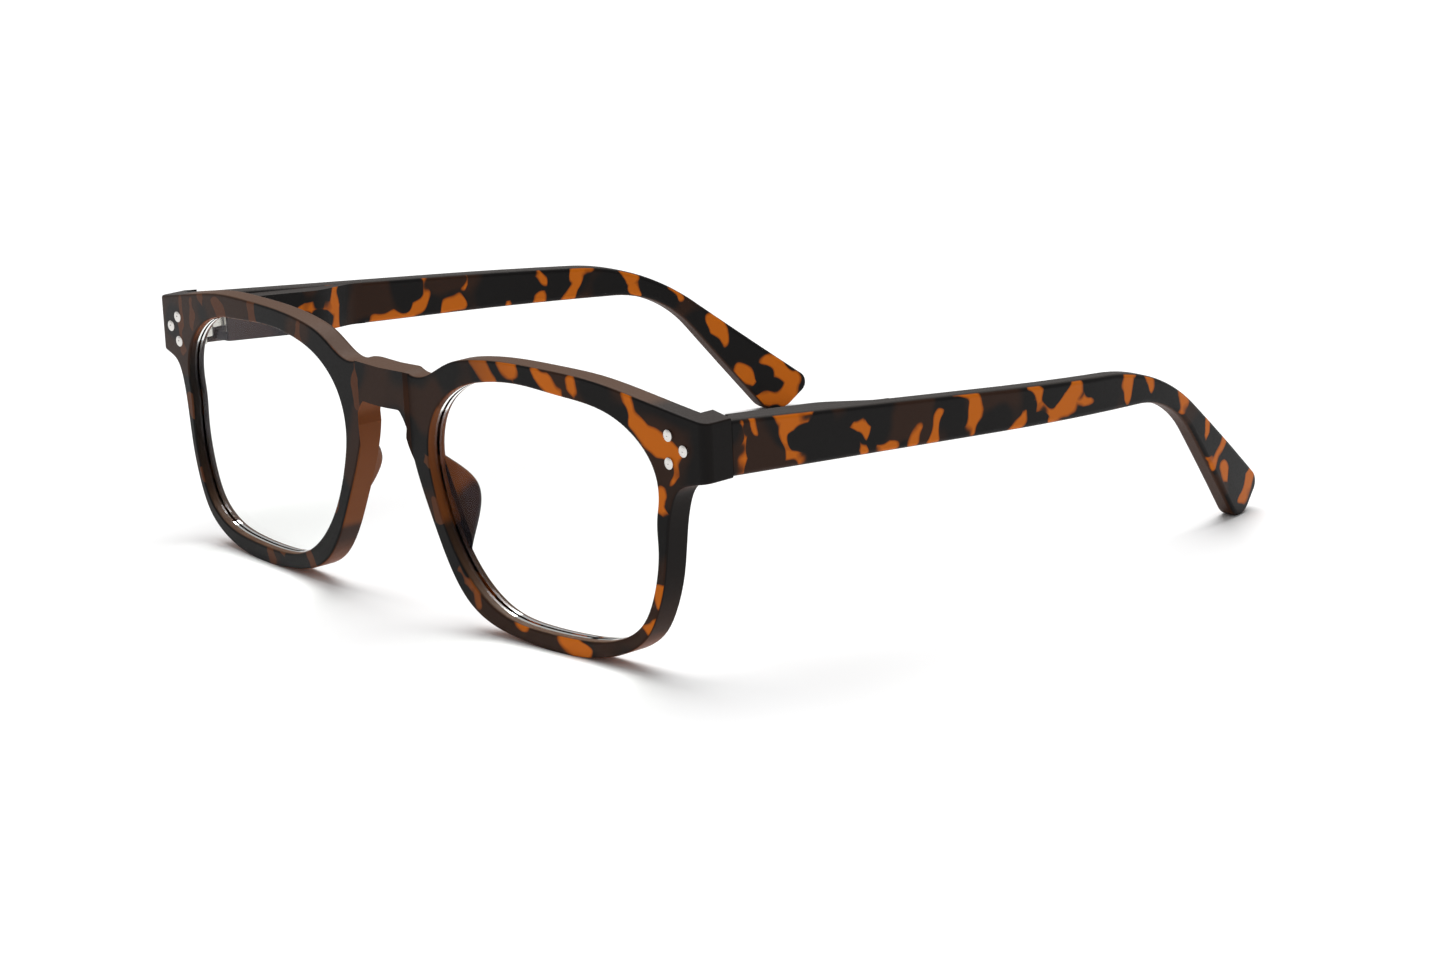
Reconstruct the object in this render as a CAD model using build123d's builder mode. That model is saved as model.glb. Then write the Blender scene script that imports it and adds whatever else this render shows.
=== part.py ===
from build123d import *
from math import atan2, cos, degrees, radians, sin, sqrt, tan
import os

os.makedirs("parts", exist_ok=True)

# Reading glasses with a moulded full-rim front, clear lenses and spring-hinged temples.
# They stand open on the rims and both temple tips, with z = 0 on the table.
# The front's own frame, used for every size below: x across, y back from the middle of the front,
# z up along the front from the lenses' middle height.  "left" is the wearer's left, at +x.
# Each left piece has a mirrored right twin.

# ---- driving dimensions, mm and degrees --------------------------------------------------------
front_curve = 427.0          # radius of the front, seen from above
rim_depth = 4.2              # front surface to back surface
rim_width = 3.0              # lens opening to the rim's outer edge, at the bottom
lens_width = 51.0            # opening in the rim
lens_height = 40.0
lens_inset = 1.3             # rim wall in front of the lens
lens_thickness = 2.0
lens_play = 0.03
tongue_thickness = 0.8       # the lens edge's tongue, in a groove in the rim
groove_depth = 0.6
bridge_gap = 22.4            # between the two lens openings
endpiece_reach = 10.3        # from a lens opening out to the endpiece's outer side
bridge_top = 18.1            # top of the bridge
keyhole_top = 11.5
keyhole_half = 6.4           # half the keyhole's width
bridge_proud = 0.5           # the bridge stands forward of the rims
pad_reach = 9.0              # nose pads, back from the front's middle
pad_thickness = 2.6
pad_splay = 12.0
endpiece_wall = 4.1          # side wall that turns back to the joint
endpiece_height = 9.4
joint_middle = 14.1          # middle of the butt joint, above the lenses' middle
joint_back = 11.5            # butt joint, back from the front's middle
joint_gap = 0.06
temple_length = 145.0        # along its middle, butt joint to tip
temple_thickness = 3.6
temple_height = 9.0          # at the butt joint
bend_height = 6.1            # just before the ear bend
bend_slant = 2.1             # the bend's corners lie this much before and behind its middle
tip_length = 41.5
tip_slant = 4.1              # the tip's upper edge is longer by this, its lower edge shorter
temple_drop = 5.7            # angle of the straight part
tip_drop = 45.1              # angle of the tip
tip_flare = 6.4              # each edge of the tip opens by this
bow_start = 68.0             # where the temple starts to curve inward
bow_radius = 256.0
block_thickness = 3.4        # hinge block on the temple's inner side
block_height = 7.6
block_length = 20.0
block_ramp = 9.0
edge_radius = 0.4            # crisp front edges
opening_radius = 0.6         # lens opening, at the back
brow_radius = 0.9            # brow, at the back
pad_radius = 1.2
temple_edge = 0.8
joint_radius = 0.2           # the temple's edge at the butt joint
tip_corner = 4.5             # radius of the tip's lower corner
tip_heel = 2.3               # radius of its upper corner
bend_over = 50.0             # radius over the ear bend
bend_under = 24.0
rest_cut = 0.1               # the worn flat under each tip

# hinge: a pin at the joint's inner side, parallel to the front
pin_inset = 4.9              # pin axis to the temple's outer side
pin_back = 1.2               # pin axis behind the butt joint
hinge_below = 0.6            # pin's middle below the joint's middle
pin_radius = 0.7
pin_play = 0.05              # running clearance of the pin
knuckle_radius = 1.55
knuckle_height = 1.25
eye_height = 1.8
knuckle_play = 0.06
leaf_thickness = 1.0
leaf_width = 6.3
leaf_height = 6.6
screw_head = 1.1             # head radius
head_height = 0.45
clearance = 0.25             # around the knuckles

# spring cage in the temple
cage_start = 3.4             # from the pin axis
cage_length = 14.0
cage_width = 3.4
cage_height = 4.0
cage_wall = 0.5
lock_length = 1.4
rod_radius = 0.6
rod_play = 0.06
spring_length = 8.6
spring_wire = 0.34
spring_turns = 8
nut_length = 1.3
nut_radius = 1.05
nest_play = 0.02             # around parts that are pressed in

# rivets in each endpiece: offset from the endpiece's outer side, and height above the joint's middle
rivet_places = [(7.3, 2.2), (4.4, 0.1), (7.3, -2.2)]
rivet_radius = 0.72
rivet_head_radius = 0.95
rivet_rise = 0.3             # edge of the head above its seat
rivet_dome = 0.14

# ---- places worked out from them ---------------------------------------------------------------
front_width = 2 * (lens_width + endpiece_reach) + bridge_gap
half_width = front_width / 2
lens_x = (bridge_gap + lens_width) / 2
tongue_inset = lens_inset + (lens_thickness - tongue_thickness) / 2
pin_x = half_width - pin_inset
pin_y = joint_back + pin_back
hinge_height = 2 * knuckle_height + eye_height + 2 * knuckle_play
hinge_z = joint_middle - hinge_below


def front_y(x):
    """How far the front surface lies back at x."""
    return front_curve - sqrt(front_curve**2 - x**2)


def rim_point(across, up):
    """A point on the rim's outer edge, as shares of its half width and half height."""
    return (lens_x + across * (lens_width / 2 + rim_width), up * (lens_height / 2 + rim_width))


def along(start, angle, distance):
    """The point at a distance from start, dropping at an angle towards the back."""
    return (start[0] + distance * cos(radians(angle)), start[1] - distance * sin(radians(angle)))


# side profile of the temple: straight part, ear bend and flared tip
straight_length = temple_length - tip_length
bend_middle = along((joint_back, joint_middle), temple_drop, straight_length)
bend_top = (bend_middle[0] - bend_slant, bend_middle[1] + bend_height / 2)
bend_bottom = (bend_middle[0] + bend_slant, bend_middle[1] - bend_height / 2)
tip_top = along(bend_top, tip_drop - tip_flare, tip_length + tip_slant)
tip_bottom = along(bend_bottom, tip_drop + tip_flare, tip_length - tip_slant)

# ---- the table and the glasses' lean on it ------------------------------------------------------
# The glasses rest on the rims' bottoms and on the round corners of both tips.
end_angle = degrees(atan2(tip_top[1] - tip_bottom[1], tip_top[0] - tip_bottom[0]))


def round_centre(corner, angle, other_angle, radius):
    """The centre of a rounded corner whose two edges leave it at these angles."""
    half = radians(abs(other_angle - angle) / 2)
    return along(corner, -(angle + other_angle) / 2, radius / sin(half))


tip_centre = round_centre(tip_bottom, end_angle, 180 - tip_drop - tip_flare, tip_corner)
heel_centre = round_centre(tip_top, 180 - tip_drop + tip_flare, 180 + end_angle, tip_heel)
rim_low = -(lens_height / 2 + rim_width)
rim_back = front_y(lens_x) + rim_depth
lean = atan2(rim_low - (tip_centre[1] - tip_corner + rest_cut), tip_centre[0] - rim_back)
foremost = -bridge_proud * cos(lean) - bridge_top * sin(lean)
rearmost = heel_centre[0] * cos(lean) - heel_centre[1] * sin(lean) + tip_heel
datum = Location(
    (
        0,
        -(foremost + rearmost) / 2,
        -(rim_back * sin(lean) + rim_low * cos(lean)),
    ),
    (degrees(lean), 0, 0),
)


def placed(plane):
    """A plane of the front's own frame, leaned and put on the table."""
    return Plane(datum * plane.location)


plan = placed(Plane.XY)      # seen from above: x across, y back
face = placed(Plane.XZ)      # seen from the front: x across, y up
side = placed(Plane.YZ)      # seen from the side: x back, y up
pin_axis = placed(Plane((pin_x, pin_y, hinge_z)))


def behind(edge):
    """How far an edge's middle lies behind the front surface."""
    middle = (datum.inverse() * Location(edge @ 0.5)).position
    return middle.Y - front_y(middle.X)


def save(piece, name):
    """Label and write a piece on the middle plane."""
    piece.part.label = name
    export_step(piece.part, f"parts/{name}.step")


def save_pair(piece, name):
    """Label and write a left piece and its mirrored right twin."""
    with BuildPart() as twin:
        mirror(piece.part, about=Plane.YZ)
    piece.part.label = f"left_{name}"
    export_step(piece.part, f"parts/left_{name}.step")
    twin.part.label = f"right_{name}"
    export_step(twin.part, f"parts/right_{name}.step")


def lens_outline(grow):
    """The closed outline of a lens opening, grown by an amount."""
    shares = [
        (1.0, 0.2), (0.93, 0.635), (0.66, 0.885), (0.2, 0.975), (-0.1, 1.0),
        (-0.43, 0.965), (-0.7, 0.86), (-0.93, 0.6), (-1.0, 0.27), (-0.96, -0.03),
        (-0.86, -0.36), (-0.7, -0.66), (-0.4, -0.93), (-0.05, -1.0), (0.3, -0.995),
        (0.6, -0.94), (0.82, -0.78), (0.94, -0.49), (0.99, -0.12),
    ]
    width = lens_width / 2 + grow
    height = lens_height / 2 + grow
    return [(lens_x + across * width, up * height) for across, up in shares]


def shell(inset, depth, width):
    """A slab that follows the front's sweep, from an inset to that plus a depth."""
    back = inset + depth
    swept = front_y(width)
    with BuildPart() as slab:
        with BuildSketch(plan.offset(-2 * lens_height)):
            with BuildLine():
                ThreePointArc((-width, swept + inset), (0, inset), (width, swept + inset))
                Line((width, swept + inset), (width, swept + back))
                ThreePointArc((width, swept + back), (0, back), (-width, swept + back))
                Line((-width, swept + back), (-width, swept + inset))
            make_face()
        extrude(amount=4 * lens_height)
    return slab.part


def lens_slab(grow, inset, thickness):
    """A left lens outline, grown by an amount, cut from a curved slab."""
    with BuildPart() as slab:
        with BuildSketch(face.offset(joint_back)):
            with BuildLine():
                Spline(*lens_outline(grow), periodic=True)
            make_face()
        extrude(amount=2 * joint_back, both=True)
        add(shell(inset, thickness, half_width), mode=Mode.INTERSECT)
    return slab.part


# ---- nose pad and hinge seat, shapes that the front needs ---------------------------------------
pad_top = (keyhole_half + 0.25, keyhole_top - 5.5)
pad_foot = rim_point(-0.70, -0.68)
pad_run = Vector(pad_foot[0] - pad_top[0], 0, pad_foot[1] - pad_top[1])
pad_side = pad_run.cross(Vector(0, 1, 0)).normalized()
pad_back = Vector(0, cos(radians(pad_splay)), 0) + pad_side * sin(radians(pad_splay))
pad_plane = Plane(origin=(pad_top[0], 0, pad_top[1]), x_dir=pad_run, z_dir=pad_run.cross(pad_back))
with BuildPart() as nose_pad:
    with BuildSketch(placed(pad_plane)):
        with BuildLine():
            Spline(
                (0, 2.4), (0.16 * pad_run.length, 0.62 * pad_reach), (0.38 * pad_run.length, pad_reach),
                (0.72 * pad_run.length, 0.62 * pad_reach), (pad_run.length, 2.4),
            )
            Line((pad_run.length, 2.4), (0, 2.4))
        make_face()
    extrude(amount=pad_thickness)
    long_edges = [edge for edge in edges() if edge.length > pad_reach + pad_thickness]
    fillet([edge for edge in long_edges if behind(edge) > rim_depth], pad_radius)
    # clear of the lens opening, as far back as the lens
    lens_back = lens_inset + lens_thickness + clearance
    add(lens_slab(clearance, -rim_depth, rim_depth + lens_back), mode=Mode.SUBTRACT)

# ---- front --------------------------------------------------------------------------------------
endpiece_top = joint_middle + temple_height / 2 + 0.3
endpiece_bottom = endpiece_top - endpiece_height
wall_inside = half_width - endpiece_wall

leaf_left = pin_x - knuckle_radius - 2.6
leaf_right = leaf_left + leaf_width
leaf_y = pin_y - knuckle_radius - 0.9 - leaf_thickness
with BuildPart() as leaf_seat:
    with BuildSketch(placed(Plane.XY.offset(joint_middle - leaf_height / 2 - nest_play))):
        with Locations((leaf_left - nest_play, leaf_y - nest_play)):
            Rectangle(leaf_width + 2 * nest_play, 2 * pin_back + rim_depth, align=(Align.MIN, Align.MIN))
    extrude(amount=leaf_height + 2 * nest_play)

groove = lens_slab(groove_depth, tongue_inset, tongue_thickness)

with BuildPart() as frame_front:
    with BuildSketch(plan.offset(-2 * lens_height)):
        with BuildLine():
            ThreePointArc((-half_width, front_y(half_width)), (0, 0), (half_width, front_y(half_width)))
            Line((half_width, front_y(half_width)), (half_width, joint_back))
            Line((half_width, joint_back), (wall_inside, joint_back))
            Line((wall_inside, joint_back), (wall_inside, front_y(wall_inside) + rim_depth))
            ThreePointArc(
                (wall_inside, front_y(wall_inside) + rim_depth),
                (0, rim_depth),
                (-wall_inside, front_y(wall_inside) + rim_depth),
            )
            Line((-wall_inside, front_y(wall_inside) + rim_depth), (-wall_inside, joint_back))
            Line((-wall_inside, joint_back), (-half_width, joint_back))
            Line((-half_width, joint_back), (-half_width, front_y(half_width)))
        make_face()
        fillet(vertices().sort_by(Axis.X)[:2].sort_by(Axis.Y)[0], 1.8)
        fillet(vertices().sort_by(Axis.X)[-2:].sort_by(Axis.Y)[0], 1.8)
        with BuildLine():
            Polyline(
                (-keyhole_half - 1.6, 1), (-keyhole_half, -bridge_proud), (keyhole_half, -bridge_proud),
                (keyhole_half + 1.6, 1), close=True
            )
        make_face()
    extrude(amount=4 * lens_height)
    with BuildSketch(face.offset(joint_back)):
        with BuildLine():
            Line((0, bridge_top), (keyhole_half, bridge_top + 0.2))
            Spline(
                (keyhole_half, bridge_top + 0.2), rim_point(-0.88, 0.80), rim_point(-0.80, 0.85),
                rim_point(-0.69, 0.92), rim_point(-0.5, 0.98), rim_point(-0.23, 1.012),
                rim_point(0.1, 1.015), rim_point(0.45, 0.996), rim_point(0.7, 0.95),
                (half_width, endpiece_top),
            )
            Line((half_width, endpiece_top), (half_width, endpiece_bottom))
            Spline(
                (half_width, endpiece_bottom), (half_width - 3, endpiece_bottom - 0.6),
                rim_point(1.055, 0.34), rim_point(0.995, 0.2), rim_point(0.967, 0.03),
                rim_point(0.93, -0.3),
                rim_point(0.87, -0.548), rim_point(0.77, -0.76), rim_point(0.573, -0.913),
                rim_point(0.3, -0.99), rim_point(0.05, -1.0), rim_point(-0.187, -0.974),
                rim_point(-0.42, -0.92), rim_point(-0.608, -0.804), rim_point(-0.765, -0.574),
                rim_point(-0.88, -0.3), rim_point(-0.989, 0), rim_point(-1.04, 0.18),
                (keyhole_half, keyhole_top - 4.2),
            )
            Spline(
                (keyhole_half, keyhole_top - 4.2), (keyhole_half + 0.05, keyhole_top - 2.2),
                (keyhole_half - 0.9, keyhole_top - 0.6), (0, keyhole_top), tangents=[(0, 1), (-1, 0)],
            )
            Line((0, keyhole_top), (0, bridge_top))
        make_face()
        with BuildLine():
            Spline(*lens_outline(0), periodic=True)
        make_face(mode=Mode.SUBTRACT)
        mirror(about=Plane.YZ)
    extrude(amount=2 * joint_back, both=True, mode=Mode.INTERSECT)
    # crisp front edges, rounder ones behind
    fillet([edge for edge in edges() if edge.is_closed and behind(edge) < rim_depth / 2], edge_radius)
    fillet([edge for edge in edges() if edge.is_closed and behind(edge) > rim_depth / 2], opening_radius)
    rim_edges = ((edge_radius, True, False), (edge_radius, True, True), (brow_radius, False, True))
    for radius, at_front, at_top in rim_edges:
        rims = [edge for edge in edges() if edge.length > lens_width and not edge.is_closed]
        rims = [edge for edge in rims if (behind(edge) < rim_depth / 2) == at_front]
        fillet([edge for edge in rims if ((edge @ 0.5).Z > datum.position.Z) == at_top], radius)
    # nose pads, splayed back from the nasal rims
    add(nose_pad.part)
    mirror(nose_pad.part, about=Plane.YZ)
    # grooves for the lens tongues
    add(groove, mode=Mode.SUBTRACT)
    mirror(groove, about=Plane.YZ, mode=Mode.SUBTRACT)
    # seats for the hinge leaves and room for their knuckles
    add(leaf_seat.part, mode=Mode.SUBTRACT)
    mirror(leaf_seat.part, about=Plane.YZ, mode=Mode.SUBTRACT)
    # rivet holes with a spotface for each head, drilled square to the front
    for turn in (1, -1):
        for inboard, up in rivet_places:
            x = half_width - inboard
            seat = front_y(x + rivet_head_radius)
            with BuildSketch(placed(Plane((turn * x, seat, joint_middle + up), z_dir=(0, 1, 0)))):
                Circle(rivet_radius)
            extrude(amount=joint_back, mode=Mode.SUBTRACT)
            with BuildSketch(placed(Plane((turn * x, seat, joint_middle + up), z_dir=(0, 1, 0)))):
                Circle(rivet_head_radius + nest_play)
            extrude(amount=-rim_depth, mode=Mode.SUBTRACT)
    # flats that the rims rest on
    split(bisect_by=Plane.XY, keep=Keep.TOP)
save(frame_front, "frame_front")

# ---- lenses -------------------------------------------------------------------------------------
with BuildPart() as lens:
    add(lens_slab(-lens_play, lens_inset, lens_thickness))
    add(lens_slab(groove_depth - lens_play, tongue_inset + lens_play, tongue_thickness - 2 * lens_play))
save_pair(lens, "lens")

# ---- rivets: a shank through the endpiece and hinge leaf, with a low domed head -----------------
with BuildPart() as rivets:
    for inboard, up in rivet_places:
        x = half_width - inboard
        seat = front_y(x + rivet_head_radius)
        shank = leaf_y + leaf_thickness + 0.3 - seat
        rim = rivet_head_radius
        head_plane = placed(Plane((x, seat, joint_middle + up), x_dir=(1, 0, 0), z_dir=(0, 0, -1)))
        with BuildSketch(head_plane):
            with BuildLine():
                Polyline(
                    (0, -shank), (rivet_radius - nest_play, -shank),
                    (rivet_radius - nest_play, nest_play), (rim, nest_play), (rim, rivet_rise),
                )
                TangentArc([(0, rivet_rise + rivet_dome), (rim, rivet_rise)], tangent=(1, 0))
                Line((0, rivet_rise + rivet_dome), (0, -shank))
            make_face()
        revolve(axis=Axis(head_plane.origin, head_plane.y_dir))
save_pair(rivets, "rivets")

# ---- hinge leaf: a plate under the rivets with two knuckles -------------------------------------
knuckle_base = eye_height / 2 + knuckle_play


def at_pin(height):
    """A level plane on the pin's axis, at a height from the hinge's middle."""
    return placed(Plane((pin_x, pin_y, hinge_z + height)))


with BuildPart() as hinge_leaf:
    with BuildSketch(placed(Plane.XY.offset(joint_middle - leaf_height / 2))):
        with Locations((leaf_left, leaf_y)):
            Rectangle(leaf_width, leaf_thickness, align=(Align.MIN, Align.MIN))
    extrude(amount=leaf_height)
    for base in (knuckle_base, -knuckle_base - knuckle_height):
        with BuildSketch(at_pin(base)):
            Circle(knuckle_radius)
            with Locations((0, leaf_y + leaf_thickness - pin_y)):
                to_leaf = pin_y - leaf_y - leaf_thickness
                Rectangle(2 * knuckle_radius, to_leaf, align=(Align.CENTER, Align.MIN))
        extrude(amount=knuckle_height)
    with BuildSketch(at_pin(-hinge_height)):
        Circle(pin_radius + pin_play)
    extrude(amount=2 * hinge_height, mode=Mode.SUBTRACT)
    for inboard, up in rivet_places:
        with BuildSketch(placed(Plane((half_width - inboard, 0, joint_middle + up), z_dir=(0, 1, 0)))):
            Circle(rivet_radius)
        extrude(amount=2 * joint_back, mode=Mode.SUBTRACT)
save_pair(hinge_leaf, "hinge_leaf")

# ---- hinge screw: slotted head on the top knuckle -----------------------------------------------
with BuildPart() as hinge_screw:
    with BuildSketch(at_pin(-hinge_height / 2 - 0.1)):
        Circle(pin_radius)
    extrude(amount=hinge_height + 0.2)
    with BuildSketch(at_pin(hinge_height / 2 + knuckle_play)):
        Circle(screw_head)
    extrude(amount=head_height)
    fillet(edges().group_by(Axis.Z)[-1], 0.15)
    with BuildSketch(at_pin(hinge_height / 2 + knuckle_play + head_height)):
        Rectangle(2 * screw_head, 0.3)
    extrude(amount=-0.5 * head_height, mode=Mode.SUBTRACT)
save_pair(hinge_screw, "hinge_screw")

# ---- slider: the middle knuckle, its neck and a rod through the spring --------------------------
lock_front = cage_start + 0.1
spring_front = lock_front + lock_length + nest_play
nut_front = spring_front + spring_length + nest_play
rod_end = nut_front + nut_length + 0.2
neck_half = 0.8


def across_rod(back):
    """A plane square to the rod, at a distance behind the pin."""
    return placed(Plane((pin_x, pin_y + back, hinge_z), x_dir=(1, 0, 0), z_dir=(0, 1, 0)))


with BuildPart() as hinge_slider:
    with BuildSketch(at_pin(-eye_height / 2)):
        Circle(knuckle_radius)
        Rectangle(2 * neck_half, lock_front - 0.1, align=(Align.CENTER, Align.MIN))
    extrude(amount=eye_height)
    with BuildSketch(across_rod(lock_front - 0.3)):
        Circle(rod_radius)
    extrude(amount=rod_end - lock_front + 0.3)
    with BuildSketch(at_pin(-eye_height)):
        Circle(pin_radius + pin_play)
    extrude(amount=2 * eye_height, mode=Mode.SUBTRACT)
save_pair(hinge_slider, "hinge_slider")

with BuildPart() as slider_nut:
    with BuildSketch(across_rod(nut_front)):
        Circle(nut_radius)
        Circle(rod_radius, mode=Mode.SUBTRACT)
    extrude(amount=nut_length)
save_pair(slider_nut, "slider_nut")

coil_radius = rod_radius + 0.12 + spring_wire / 2
with BuildPart() as hinge_spring:
    start = across_rod(spring_front + spring_wire / 2)
    rise = spring_length - spring_wire
    with BuildLine() as coil:
        Helix(rise / spring_turns, rise, coil_radius, center=start.origin, direction=start.z_dir)
    with BuildSketch(Plane(origin=coil.line @ 0, z_dir=coil.line % 0)):
        Circle(spring_wire / 2)
    sweep(path=coil.line, is_frenet=True)
save_pair(hinge_spring, "hinge_spring")

# ---- cage pressed into the temple, and the lock that the spring pushes on -----------------------
with BuildPart() as spring_cage:
    with BuildSketch(across_rod(cage_start)):
        Rectangle(cage_width, cage_height)
    extrude(amount=cage_length)
    with BuildSketch(across_rod(cage_start)):
        Rectangle(cage_width - 2 * cage_wall, cage_height - 2 * cage_wall)
    extrude(amount=cage_length - cage_wall, mode=Mode.SUBTRACT)
save_pair(spring_cage, "spring_cage")

with BuildPart() as cage_lock:
    with BuildSketch(across_rod(lock_front)):
        Rectangle(cage_width - 2 * cage_wall - 2 * nest_play, cage_height - 2 * cage_wall - 2 * nest_play)
        Circle(rod_radius + rod_play, mode=Mode.SUBTRACT)
    extrude(amount=lock_length)
save_pair(cage_lock, "cage_lock")

# ---- temple -------------------------------------------------------------------------------------
temple_front = joint_back + joint_gap
slope = tan(radians(temple_drop))
bow_sweep = degrees(atan2(tip_top[0] - bow_start, bow_radius)) + 4


def bowed(radius):
    """The end of the bow's arc for a given radius."""
    return (
        half_width - bow_radius + radius * cos(radians(bow_sweep)),
        bow_start + radius * sin(radians(bow_sweep)),
    )


def bow_middle(radius):
    """The middle of the same arc."""
    return (
        half_width - bow_radius + radius * cos(radians(bow_sweep / 2)),
        bow_start + radius * sin(radians(bow_sweep / 2)),
    )


outer_bow = bow_radius
inner_bow = bow_radius - temple_thickness
slab_inside = half_width - temple_thickness
block_front = pin_y + cage_start
block_inside = slab_inside - block_thickness
ramp_start = block_front + block_length
ramp_end = ramp_start + block_ramp
far = ramp_end + 3
near_middle = joint_middle - slope * (block_front - joint_back)
far_middle = joint_middle - slope * (far - joint_back)

with BuildPart() as block:
    with BuildSketch(plan):
        with BuildLine():
            FilletPolyline(
                (slab_inside + 1, block_front), (block_inside, block_front), (block_inside, ramp_start),
                (slab_inside, ramp_end), (slab_inside, ramp_end + 3), (slab_inside + 1, ramp_end + 3),
                radius=[0.6, 12, 8, 0], close=False,
            )
            Line((slab_inside + 1, ramp_end + 3), (slab_inside + 1, block_front))
        make_face()
    extrude(amount=4 * temple_height)
    with BuildSketch(side):
        with BuildLine():
            Polyline(
                (block_front, near_middle - block_height / 2), (far, far_middle - block_height / 2),
                (far, far_middle + block_height / 2), (block_front, near_middle + block_height / 2),
                close=True,
            )
        make_face()
    extrude(amount=front_width, mode=Mode.INTERSECT)

with BuildPart() as temple:
    with BuildSketch(plan.offset(-2 * lens_height)):
        with BuildLine():
            Line((half_width, temple_front), (half_width, bow_start))
            ThreePointArc((half_width, bow_start), bow_middle(outer_bow), bowed(outer_bow))
            Line(bowed(outer_bow), bowed(inner_bow))
            ThreePointArc(bowed(inner_bow), bow_middle(inner_bow), (slab_inside, bow_start))
            Line((slab_inside, bow_start), (slab_inside, temple_front))
            Line((slab_inside, temple_front), (half_width, temple_front))
        make_face()
    extrude(amount=4 * lens_height)
    with BuildSketch(side):
        with BuildLine():
            FilletPolyline(
                (temple_front, joint_middle - temple_height / 2),
                (temple_front, joint_middle + temple_height / 2),
                bend_top, tip_top, tip_bottom, bend_bottom,
                close=True, radius=[0, 0, bend_over, tip_heel, tip_corner, bend_under],
            )
        make_face()
    extrude(amount=front_width, mode=Mode.INTERSECT)
    long_edges = edges().filter_by(lambda edge: edge.length > 2 * temple_thickness)
    fillet(long_edges.sort_by(Axis.Y)[2:], temple_edge)
    fillet(faces().sort_by(Axis.Y)[0].edges(), joint_radius)
    add(block.part)
    with BuildSketch(across_rod(cage_start - 1)):
        Rectangle(cage_width + 2 * nest_play, cage_height + 2 * nest_play)
    extrude(amount=cage_length + 1 + nest_play, mode=Mode.SUBTRACT)
    room = hinge_height / 2 + head_height + 2 * clearance
    with BuildSketch(at_pin(-room)):
        with Locations((knuckle_radius + clearance, -pin_back - 1)):
            Rectangle(4, pin_back + 1 + cage_start, align=(Align.MAX, Align.MIN))
    extrude(amount=2 * room, mode=Mode.SUBTRACT)
    # the flat that the tip rests on
    split(bisect_by=Plane.XY, keep=Keep.TOP)
save_pair(temple, "temple")
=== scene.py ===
from math import radians

import bpy
from mathutils import Euler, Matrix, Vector

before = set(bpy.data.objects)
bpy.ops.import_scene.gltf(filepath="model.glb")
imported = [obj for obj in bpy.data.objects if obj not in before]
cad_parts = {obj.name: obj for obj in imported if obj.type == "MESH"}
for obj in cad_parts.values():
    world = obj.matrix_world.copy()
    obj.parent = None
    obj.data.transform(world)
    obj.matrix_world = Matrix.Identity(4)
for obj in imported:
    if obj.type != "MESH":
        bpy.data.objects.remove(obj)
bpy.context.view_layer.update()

# Reading glasses standing open on a white table.  The front, temples, lenses and metal are the
# frame's own solids; this script gives them their finishes, the light and the camera.

SIDES = ("left", "right")
MM = 0.001

# ---- camera: where it stands and how it is turned, in the frame's own metres -------------------
CAMERA_PLACE = Vector((0.5134, -0.4571, 0.1824))
CAMERA_TURN = 48.29         # degrees round from looking along +Y
CAMERA_DIP = 14.24          # below level
CAMERA_ROLL = -1.31
CAMERA_LENS = 99.98         # mm


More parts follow.
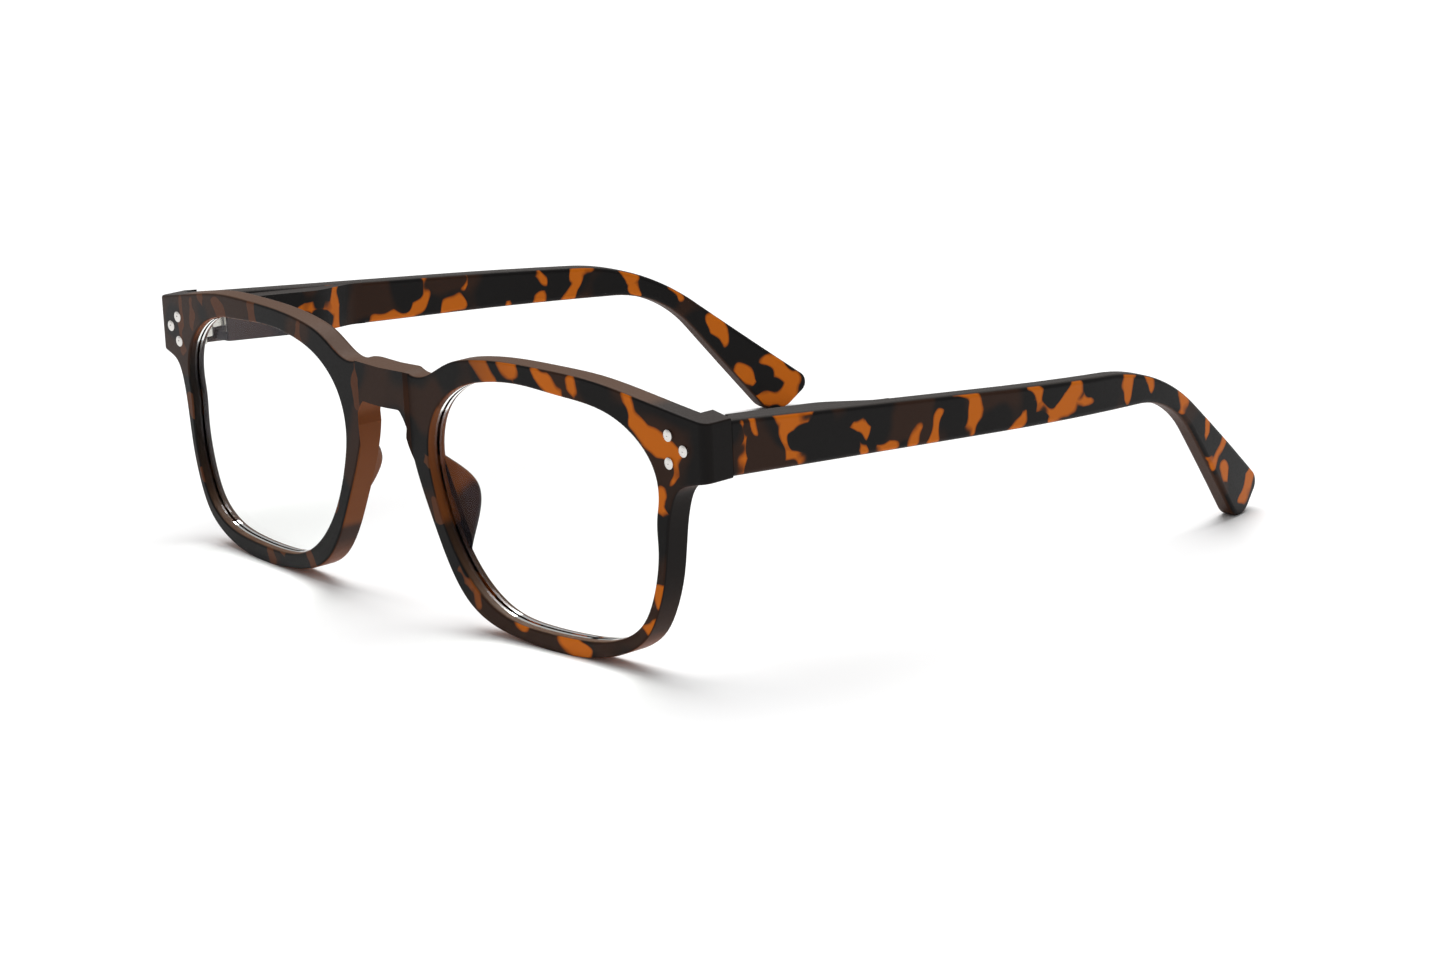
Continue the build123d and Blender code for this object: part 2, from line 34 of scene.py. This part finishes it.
# ---- shader helpers -----------------------------------------------------------------------------
class Shader:
    """A material being built: its node tree and a few short ways to add to it."""

    def __init__(self, name):
        self.material = bpy.data.materials.new(name)
        self.material.use_nodes = True
        self.tree = self.material.node_tree
        self.surface = self.tree.nodes["Principled BSDF"]

    def node(self, kind, **settings):
        """Add a node and set its properties."""
        made = self.tree.nodes.new(kind)
        for name, value in settings.items():
            setattr(made, name, value)
        return made

    def link(self, output, target):
        self.tree.links.new(output, target)

    def coordinates(self, kind):
        """The piece's own coordinates: Object for places, Normal for directions."""
        return self.node("ShaderNodeTexCoord").outputs[kind]

    def noise(self, vector, scale, detail, roughness=0.5):
        """Noise over a vector."""
        made = self.node("ShaderNodeTexNoise")
        self.link(vector, made.inputs["Vector"])
        made.inputs["Scale"].default_value = scale
        made.inputs["Detail"].default_value = detail
        made.inputs["Roughness"].default_value = roughness
        return made.outputs

    def fill(self, made, values):
        """Link or set a node's inputs in order; sockets are linked, numbers and vectors are set."""
        for socket, value in zip(made.inputs, values):
            if isinstance(value, bpy.types.NodeSocket):
                self.link(value, socket)
            else:
                socket.default_value = value

    def maths(self, operation, *values):
        """A Math node; each value is a socket or a number."""
        made = self.node("ShaderNodeMath", operation=operation)
        self.fill(made, values)
        return made.outputs["Value"]

    def vectors(self, operation, *values):
        """A Vector Math node; each value is a socket or a vector."""
        made = self.node("ShaderNodeVectorMath", operation=operation)
        self.fill(made, values)
        return made.outputs

    def blend(self, share, first, second):
        """Two colours blended by a share of the second."""
        made = self.node("ShaderNodeMixRGB")
        self.fill(made, (share, first, second))
        return made.outputs["Color"]

    def span(self, value, low, high, out_low=0.0, out_high=1.0):
        """A value mapped from one range to another, smoothly and clamped."""
        made = self.node("ShaderNodeMapRange", interpolation_type="SMOOTHSTEP")
        self.link(value, made.inputs["Value"])
        made.inputs["From Min"].default_value = low
        made.inputs["From Max"].default_value = high
        made.inputs["To Min"].default_value = out_low
        made.inputs["To Max"].default_value = out_high
        return made.outputs["Result"]

    def ramp(self, value, stops):
        """A colour ramp through (position, colour) stops."""
        made = self.node("ShaderNodeValToRGB")
        self.link(value, made.inputs["Fac"])
        elements = made.color_ramp.elements
        elements[0].position, elements[0].color = stops[0][0], (*stops[0][1], 1)
        elements[1].position, elements[1].color = stops[-1][0], (*stops[-1][1], 1)
        for position, colour in stops[1:-1]:
            elements.new(position).color = (*colour, 1)
        return made.outputs["Color"]

    def cells(self, vector, size, feature):
        """Distance from the middle of the nearest Voronoi cell."""
        made = self.node("ShaderNodeTexVoronoi", feature=feature)
        self.link(vector, made.inputs["Vector"])
        made.inputs["Scale"].default_value = 1 / size
        return made.outputs["Distance"]

    def bump(self, height, strength, distance):
        """Raise the surface by a height."""
        made = self.node("ShaderNodeBump")
        made.inputs["Strength"].default_value = strength
        made.inputs["Distance"].default_value = distance
        self.link(height, made.inputs["Height"])
        self.link(made.outputs["Normal"], self.surface.inputs["Normal"])


# ---- tortoiseshell pattern ----------------------------------------------------------------------
# Amber streaks, in millimetres: half width, start and end.  On the front the places are across and
# up; on the temples, back and up.  Streaks that share an end make one bent streak.
FRONT_STREAKS = (
    (1.0, (24.3, 45.8), (27.2, 42.6)), (1.4, (31.2, 45.9), (31.8, 44.4)), (0.7, (32, 44), (33, 42.6)),
    (1.1, (38, 45.5), (40.6, 43.8)), (0.7, (40.6, 43.8), (45.5, 41.8)), (0.7, (45.4, 44.8), (45.8, 42)),
    (0.7, (57.2, 45), (58.3, 40.6)), (1.1, (58.3, 40.6), (62.4, 38.6)), (1.8, (62.4, 38.4), (65.6, 36)),
    (0.9, (66.4, 35.2), (66, 32.2)), (0.9, (64, 29.2), (62.6, 27.4)), (0.6, (62.6, 27.2), (65.6, 25.8)),
    (1.2, (62.3, 13.8), (62.6, 12)), (1.0, (60.4, 8.8), (59.6, 5.8)), (1.5, (42.2, 2), (45.2, 1.4)),
    (0.7, (31, 4), (32, 2.6)), (1.1, (17.4, 9.8), (20, 7.8)), (0.5, (21.4, 7), (22.2, 4.8)),
    (0.7, (12.6, 20.5), (13.4, 17.5)), (0.7, (10, 29), (11, 26.5)),
    (0.7, (-64.8, 38), (-63.6, 33.6)), (0.5, (-64.6, 42), (-64.4, 40)), (0.6, (-60, 42.5), (-59.6, 38)),
    (0.9, (-55.6, 43.5), (-54.4, 41.4)), (0.9, (-50.6, 44.5), (-48.6, 41.6)),
    (0.7, (-38.6, 45.6), (-37.6, 42)),
    (0.7, (-23, 45), (-23.6, 41.6)), (0.5, (-7, 40), (-6.8, 33.5)), (0.7, (-62.4, 25), (-62, 22.6)),
    (0.7, (-60, 13), (-59, 11)), (0.6, (-38, 3), (-37, 1)), (0.7, (-33, 3.4), (-31.4, 0.8)),
    (1.3, (-15, 17), (-16.6, 14)), (1.1, (-24.5, 4.4), (-23, 2.6)),
)
LEFT_STREAKS = (
    (1.0, (-60, 41), (-60, 33)), (0.6, (-57.7, 41), (-57.6, 38.6)), (1.1, (-52, 41), (-41, 40.4)),
    (1.3, (-50.6, 39.4), (-46.4, 38.6)), (0.7, (-50.6, 38.4), (-50.2, 35.4)),
    (1.2, (-50.4, 34.6), (-48.4, 32.8)),
    (1.2, (-36, 37), (-33.4, 34.8)), (0.9, (-35, 33.6), (-34.4, 31.6)),
    (0.9, (-31, 32.2), (-28.2, 31.4)),
    (0.7, (-22.3, 33.8), (-23.8, 31)), (1.0, (-17.8, 34.4), (-19.2, 30.4)),
    (1.0, (-13, 37.6), (-9.6, 36.4)),
    (1.7, (-9, 35.4), (-9.8, 31)), (0.9, (-1.2, 28.4), (2, 32)), (0.7, (2, 32), (4.4, 33.4)),
    (0.9, (4.2, 35.6), (6.4, 31.8)), (1.2, (6.4, 31.8), (10, 29.4)), (1.4, (10, 29.4), (14, 32)),
    (1.4, (14, 32), (16.4, 34.8)), (0.6, (16.4, 34.8), (16.8, 36.6)), (0.7, (15, 32), (19, 31.4)),
    (1.1, (8, 28.6), (11, 27.6)), (1.1, (29, 34.4), (29, 29.6)), (0.9, (29.4, 33.8), (33.6, 34)),
    (0.6, (36, 33), (36.4, 29.8)), (1.2, (47, 26.8), (45.4, 23.4)), (0.7, (55, 20.6), (53.6, 14)),
    (0.9, (53.6, 14), (57, 11.8)), (0.7, (57, 11.8), (61, 15.4)), (0.9, (61, 10), (61.6, 8.2)),
    (1.2, (73.4, 8.8), (68, 2.4)),
)
RIGHT_STREAKS = (
    (1.0, (-42, 36.2), (-34, 34.6)), (1.2, (-32.4, 39.4), (-33, 31.4)), (1.3, (-22, 30.4), (-15.4, 31)),
    (1.1, (-15.4, 31), (-11, 33)), (0.7, (-11, 33), (-11.4, 39)), (1.2, (-6.6, 30.8), (-2.8, 31.4)),
    (0.6, (-1, 38), (-1.6, 34)), (1.3, (16, 36), (16.4, 33)), (1.1, (16, 29.4), (15.8, 27.4)),
    (0.7, (8.6, 29), (10, 28)), (1.2, (27, 34), (23.6, 32.6)), (1.0, (23.6, 32.6), (24.6, 30.4)),
    (1.0, (24.6, 30.4), (22.4, 28.4)), (1.3, (35, 32.6), (36.6, 31)), (1.1, (37, 28.4), (38.4, 26.8)),
    (1.3, (54, 19.2), (56.4, 15.6)), (1.3, (60.4, 8.4), (62, 6)), (1.5, (65.5, 10.5), (70.6, 5.6)),
    (1.7, (70.6, 5.6), (68.8, 2.2)), (1.4, (68.8, 2.2), (62.5, 1.6)), (0.7, (46, 27), (47, 25)),
)
STREAK_MELT = 0.6            # mm, how softly streaks join
STREAK_EDGE = (0.15, -0.85)  # mm past a streak's edge where amber starts, and where it is full
WANDER_SCALE = 170           # per metre
WANDER_REACH = 3.0 * MM
OVAL_SIZE = 8.0              # mm
OVAL_EDGE = (0.42, 0.56)     # shares of an oval's size
SHARD_SIZE = 4.5             # mm; each cell of this size eats into the streaks around it
SHARD_EDGE = (0.75, 0.15)    # shares of a cell's size
SHARD_SPREAD = 0.65          # mm; the streaks widen this much between the cells
SHARD_BITE = 1.0             # mm; and narrow this much in a cell's middle

AMBER = (0.52, 0.120, 0.001)
DEEP_AMBER = (0.30, 0.064, 0.001)
FRINGE = (0.050, 0.014, 0.003)
DARK_BROWN = (0.026, 0.0095, 0.0040)
NEAR_BLACK = (0.0045, 0.0036, 0.0034)
DEEP_BROWN = (0.085, 0.026, 0.008)
PAD_BROWN = (0.15, 0.042, 0.008)
# the plastic's colour where no pattern is printed, from faces that look down to faces that look up: the
# orange on downward faces is a painted glow of light from the table shining through the plastic,
# standing faces are the plastic's own dark brown, and upward faces are its brown lightened by a painted
# sheen from the light above
FRONT_BARE_PAINTED_GLOW_SHEEN = (
    (0.0, (0.24, 0.055, 0.004)), (0.22, (0.030, 0.010, 0.004)), (0.5, (0.010, 0.006, 0.004)),
    (0.75, (0.030, 0.014, 0.007)), (1.0, (0.078, 0.033, 0.013)),
)
# the temples' bare colour likewise: a painted orange glow on downward faces, the plastic's dark colour
# on standing faces, and a painted grey sheen on upward faces
TEMPLE_BARE_PAINTED_GLOW_SHEEN = ((0.0, (0.05, 0.015, 0.004)), (0.5, (0.006, 0.005, 0.004)), (1.0, (0.022, 0.016, 0.013)))
BARE_TURN = (0.80, 0.45)     # a face's share of the pattern's direction, from patterned to bare
DEEP_FROM = (38, 12)         # mm across, where the front's streaks turn deep brown
PAD_REACH = (14.5, 13.5)     # mm from the middle, where the pads' brown starts
PAD_LEVEL = (0.45, 0.30)     # half the upward share of a face, from level to standing
ENDPIECE_REACH = (60, 64)    # mm from the middle
ENDPIECE_DARK = 0.85
COAT_GRAIN = 2600            # per metre
COAT_GLOSS = 0.11

# directions of the frame
ACROSS = (1, 0, 0)
BACK = (0, 1, 0)
UP = (0, 0, 1)


def streak_distance(shader, place, axes, streaks):
    """How far a point lies outside the nearest streak, in millimetres, melted where streaks meet."""
    nearest = None
    for half_width, start, end in streaks:
        first, last = (Vector(axes[0]) * along + Vector(axes[1]) * up for along, up in (start, end))
        run = last - first
        offset = shader.vectors("SUBTRACT", place, first)["Vector"]
        share = shader.vectors("DOT_PRODUCT", offset, run / run.length_squared)["Value"]
        held = shader.node("ShaderNodeClamp")
        shader.link(share, held.inputs["Value"])
        reach = shader.node("ShaderNodeVectorMath", operation="SCALE")
        reach.inputs[0].default_value = run
        shader.link(held.outputs["Result"], reach.inputs["Scale"])
        gap = shader.vectors("DISTANCE", offset, reach.outputs["Vector"])["Value"]
        outside = shader.maths("SUBTRACT", gap, half_width)
        if nearest is not None:
            outside = shader.maths("SMOOTH_MIN", nearest, outside, STREAK_MELT)
        nearest = outside
    return nearest


def laid_flat(shader, place, axes):
    """Places in millimetres, wandering a little, laid flat on the plane of two directions."""
    noise = shader.noise(place, WANDER_SCALE, 1)["Color"]
    wander = shader.vectors("SUBTRACT", noise, (0.5, 0.5, 0.5))["Vector"]
    wandered = shader.vectors("MULTIPLY_ADD", wander, (WANDER_REACH,) * 3, place)["Vector"]
    flat = Vector(axes[0]) + Vector(axes[1])
    return shader.vectors("MULTIPLY", wandered, flat / MM)["Vector"]


def amber_share(shader, laid, axes, streaks):
    """How much amber shows: full inside the streaks, with cells biting into their edges."""
    shards = shader.cells(laid, SHARD_SIZE, "F1")
    bitten = shader.span(shards, *SHARD_EDGE, -SHARD_SPREAD, SHARD_BITE)
    outside = shader.maths("ADD", streak_distance(shader, laid, axes, streaks), bitten)
    return shader.span(outside, *STREAK_EDGE)


def oval_colour(shader, laid):
    """Near-black ovals on dark brown."""
    brown = shader.span(shader.cells(laid, OVAL_SIZE, "SMOOTH_F1"), *OVAL_EDGE)
    return shader.ramp(brown, ((0.0, NEAR_BLACK), (1.0, DARK_BROWN)))


def bare_pads_and_ends(shader, bare_with_painted_light, beside, upward):
    """The front's bare colour, with its painted glow below and painted sheen on top, given brown nose
    pads and dark endpieces.
    """
    level = shader.span(shader.maths("ABSOLUTE", upward), *PAD_LEVEL)
    near_pads = shader.maths("MULTIPLY", shader.span(beside, *PAD_REACH), level)
    with_pads = shader.blend(near_pads, bare_with_painted_light, (*PAD_BROWN, 1))
    at_end = shader.span(beside, *ENDPIECE_REACH, 0, ENDPIECE_DARK)
    return shader.blend(at_end, with_pads, (*NEAR_BLACK, 1))


def soft_coat(shader, place):
    """The rubbery coat: a faint gloss with a fine grain."""
    grain = shader.noise(place, COAT_GRAIN, 3, 0.6)["Fac"]
    shader.link(shader.span(grain, 0.2, 0.8, 0.42, 0.52), shader.surface.inputs["Roughness"])
    shader.bump(grain, 0.10, 0.02 * MM)
    shader.surface.inputs["Specular IOR Level"].default_value = COAT_GLOSS


def tortoiseshell(name, axes, streaks, bare_with_painted_light, is_front=False):
    """Soft-coated plastic: near-black ovals on dark brown with amber streaks, laid flat on a plane.

    axes are the plane's two directions.  Faces turned away from the plane show the bare colours, with a
    painted glow on faces that look down and a painted sheen on faces that look up.
    """
    shader = Shader(name)
    place = shader.coordinates("Object")
    normal = shader.coordinates("Normal")
    laid = laid_flat(shader, place, axes)
    amber = amber_share(shader, laid, axes, streaks)
    bright = shader.ramp(amber, ((0.10, FRINGE), (0.35, DEEP_AMBER), (0.90, AMBER)))
    upward = shader.vectors("DOT_PRODUCT", normal, (0, 0, 0.5))["Value"]
    # painted light: the bare colour is ramped by how far a face looks up, with a painted orange glow
    # below and a painted sheen on top
    bare_colour_with_painted_light = shader.ramp(shader.maths("ADD", upward, 0.5), bare_with_painted_light)
    if is_front:
        # the streaks are deeper and browner towards the wearer's right
        side = shader.vectors("DOT_PRODUCT", place, Vector(ACROSS) / MM)["Value"]
        bright = shader.blend(shader.span(side, *DEEP_FROM), bright, (*DEEP_BROWN, 1))
        bare_colour_with_painted_light = bare_pads_and_ends(shader, bare_colour_with_painted_light, shader.maths("ABSOLUTE", side), upward)
    pattern = shader.blend(shader.span(amber, 0.0, 0.12), oval_colour(shader, laid), bright)
    facing = shader.vectors("DOT_PRODUCT", normal, Vector(axes[0]).cross(Vector(axes[1])))["Value"]
    turned = shader.span(shader.maths("ABSOLUTE", facing), *BARE_TURN)
    shader.link(shader.blend(turned, pattern, bare_colour_with_painted_light), shader.surface.inputs["Base Color"])
    soft_coat(shader, place)
    return shader.material


def lens_resin():
    """Clear resin with a coat whose weak reflections are purple."""
    shader = Shader("coated_lens")
    shader.surface.inputs["Base Color"].default_value = (0.985, 1.0, 0.985, 1)
    shader.surface.inputs["Roughness"].default_value = 0.0
    shader.surface.inputs["IOR"].default_value = 1.12
    shader.surface.inputs["Transmission Weight"].default_value = 1.0
    shader.surface.inputs["Specular Tint"].default_value = (0.85, 0.35, 0.95, 1)
    clear = shader.node("ShaderNodeBsdfTransparent")
    clear.inputs["Color"].default_value = (0.97, 0.985, 0.97, 1)
    path = shader.node("ShaderNodeLightPath")
    mixed = shader.node("ShaderNodeMixShader")
    output = shader.tree.nodes["Material Output"]
    shader.link(path.outputs["Is Shadow Ray"], mixed.inputs["Fac"])
    shader.link(shader.surface.outputs["BSDF"], mixed.inputs[1])
    shader.link(clear.outputs["BSDF"], mixed.inputs[2])
    shader.link(mixed.outputs["Shader"], output.inputs["Surface"])
    return shader.material


def metal(name, colour, smooth, rough, grain_size):
    """Satin metal with a fine turned or drawn grain."""
    shader = Shader(name)
    shader.surface.inputs["Metallic"].default_value = 1.0
    place = shader.coordinates("Object")
    grain = shader.noise(place, 1 / grain_size, 3, 0.6)["Fac"]
    shade = shader.ramp(grain, ((0.25, tuple(0.86 * part for part in colour)), (0.75, colour)))
    shader.link(shade, shader.surface.inputs["Base Color"])
    shader.link(shader.span(grain, 0.2, 0.8, smooth, rough), shader.surface.inputs["Roughness"])
    shader.bump(grain, 0.15, 0.01 * MM)
    return shader.material


def dress(node, material):
    """Give a frame node its finish."""
    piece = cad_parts[node]
    piece.data.materials.clear()
    piece.data.materials.append(material)


def dress_all():
    """Finishes for every node of the frame."""
    front = tortoiseshell("tortoiseshell_front", (ACROSS, UP), FRONT_STREAKS, FRONT_BARE_PAINTED_GLOW_SHEEN, is_front=True)
    dress("frame_front", front)
    for side, streaks in (("left", LEFT_STREAKS), ("right", RIGHT_STREAKS)):
        name = f"tortoiseshell_{side}_temple"
        dress(f"{side}_temple", tortoiseshell(name, (BACK, UP), streaks, TEMPLE_BARE_PAINTED_GLOW_SHEEN))
    finishes = {
        "lens": lens_resin(),
        "rivets": metal("rivet_steel", (0.68, 0.66, 0.63), 0.16, 0.30, 0.25 * MM),
        "hinge_leaf": metal("leaf_nickel", (0.66, 0.64, 0.60), 0.24, 0.40, 0.3 * MM),
        "hinge_screw": metal("screw_steel", (0.78, 0.77, 0.75), 0.18, 0.32, 0.2 * MM),
        "hinge_slider": metal("slider_nickel", (0.68, 0.66, 0.62), 0.22, 0.38, 0.3 * MM),
        "slider_nut": metal("nut_brass", (0.80, 0.62, 0.34), 0.22, 0.36, 0.2 * MM),
        "hinge_spring": metal("spring_wire", (0.58, 0.58, 0.60), 0.20, 0.34, 0.15 * MM),
        "spring_cage": metal("cage_nickel", (0.70, 0.68, 0.64), 0.24, 0.40, 0.3 * MM),
        "cage_lock": metal("lock_steel", (0.62, 0.62, 0.62), 0.26, 0.42, 0.25 * MM),
    }
    for side in SIDES:
        for part, material in finishes.items():
            dress(f"{side}_{part}", material)


# ---- stage --------------------------------------------------------------------------------------
TABLE_SIZE = 12              # metres
TABLE_WHITE = (0.92, 0.92, 0.92)
ROOM_STRENGTH = 0.42
PANEL_STRENGTH = 3.1
PANEL_WIDTH = 55             # degrees across, as seen from the table
TOWARDS_PANEL = Vector((-0.35, 0.30, 1))
SENSOR_WIDTH = 36            # mm
NEAREST_SEEN = 0.01          # metres


def white_table():
    """A wide pale floor."""
    bpy.ops.mesh.primitive_plane_add(size=TABLE_SIZE)
    floor = bpy.context.object
    floor.name = "table"
    shader = Shader("table_white")
    shader.surface.inputs["Base Color"].default_value = (*TABLE_WHITE, 1)
    shader.surface.inputs["Roughness"].default_value = 0.9
    shader.surface.inputs["Specular IOR Level"].default_value = 0.0
    floor.data.materials.append(shader.material)


def light_room():
    """Dim white surroundings and one broad, soft light from above and behind."""
    world = bpy.data.worlds.new("white_room")
    world.use_nodes = True
    world.node_tree.nodes["Background"].inputs["Color"].default_value = (1, 1, 1, 1)
    world.node_tree.nodes["Background"].inputs["Strength"].default_value = ROOM_STRENGTH
    bpy.context.scene.world = world
    light = bpy.data.lights.new("sky_panel", "SUN")
    light.energy = PANEL_STRENGTH
    light.angle = radians(PANEL_WIDTH)
    lamp = bpy.data.objects.new("sky_panel", light)
    lamp.rotation_euler = TOWARDS_PANEL.to_track_quat("Z", "Y").to_euler()
    bpy.context.scene.collection.objects.link(lamp)


def place_camera():
    """The camera at its measured place, turned, dipped and rolled."""
    camera = bpy.data.cameras.new("camera")
    camera.sensor_width = SENSOR_WIDTH
    camera.lens = CAMERA_LENS
    camera.clip_start = NEAREST_SEEN
    holder = bpy.data.objects.new("camera", camera)
    holder.location = CAMERA_PLACE
    turn = Euler((0, 0, radians(CAMERA_TURN))).to_matrix()
    dip = Euler((radians(90 - CAMERA_DIP), 0, 0)).to_matrix()
    roll = Euler((0, 0, radians(CAMERA_ROLL))).to_matrix()
    holder.rotation_euler = (turn @ dip @ roll).to_euler()
    bpy.context.scene.collection.objects.link(holder)
    bpy.context.scene.camera = holder


place_camera()
white_table()
light_room()
dress_all()
bpy.context.scene.view_settings.view_transform = "Standard"
